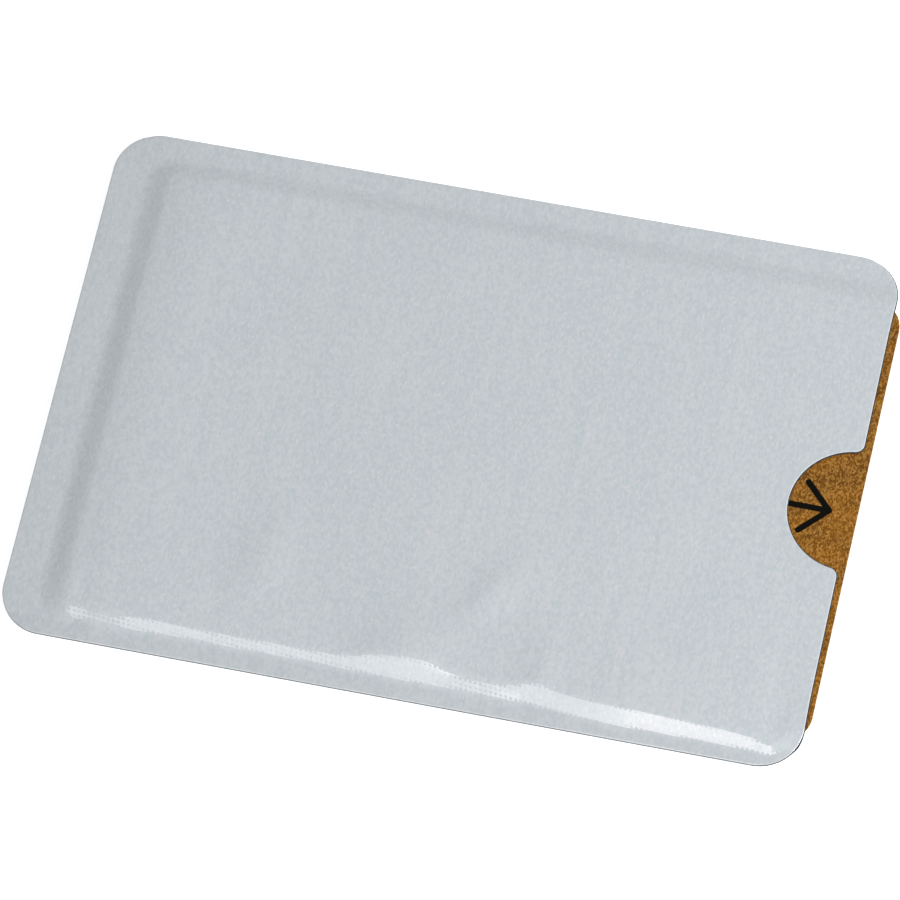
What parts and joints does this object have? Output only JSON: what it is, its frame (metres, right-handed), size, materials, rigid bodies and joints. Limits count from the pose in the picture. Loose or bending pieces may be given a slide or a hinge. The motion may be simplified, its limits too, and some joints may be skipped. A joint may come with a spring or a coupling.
{
  "type": "rfid card holder",
  "caption": "Flat laminated foil sleeve that screens a contactless card, sealed on three sides and open at one end with a thumb notch, holding a bank-size card that slides out.",
  "frame": {"origin": "middle of the sleeve's die-cut outline, on the outer face of the back panel that the holder lies on", "axes": "+X along the sleeve and out of its mouth, +Y to the long side at the top of the picture, +Z out of the front"},
  "size_m": [0.0919, 0.0626, 0.0013],
  "materials": {
    "silver_film": "gloss",
    "screening_foil": "satin",
    "paper_liner": "matte",
    "seam_glue": "satin",
    "gold_card_face": "gloss",
    "gold_card_sheet": "satin",
    "card_core": "matte",
    "etched_aluminium": "satin",
    "module_tape": "satin",
    "contact_plating": "gloss",
    "silicon": "gloss",
    "black_resin": "satin",
    "magnetic_tape": "satin",
    "writing_panel": "matte",
    "black_ink": "satin"
  },
  "bodies": {
    "sleeve": {"front_film": "silver_film", "front_foil": "screening_foil", "front_liner": "paper_liner", "back_liner": "paper_liner", "back_foil": "screening_foil", "back_film": "silver_film", "end_seam": "seam_glue", "top_seam": "seam_glue", "bottom_seam": "seam_glue"},
    "card": {"card_front_overlay": "gold_card_face", "card_front_sheet": "gold_card_sheet", "card_core": "card_core", "card_back_sheet": "gold_card_sheet", "card_back_overlay": "gold_card_face", "antenna_coil": "etched_aluminium", "antenna_bridge": "etched_aluminium", "module_tape": "module_tape", "contact_pads": "contact_plating", "chip_die": "silicon", "chip_encapsulant": "black_resin", "magnetic_stripe": "magnetic_tape", "signature_panel": "writing_panel", "pull_arrow": "black_ink"}
  },
  "joints": [
    {"name": "card_slide", "type": "slide", "parent": "sleeve", "child": "card", "axis": [1, -0.0079, 0], "range_m": [0, 0.088]}
  ]
}
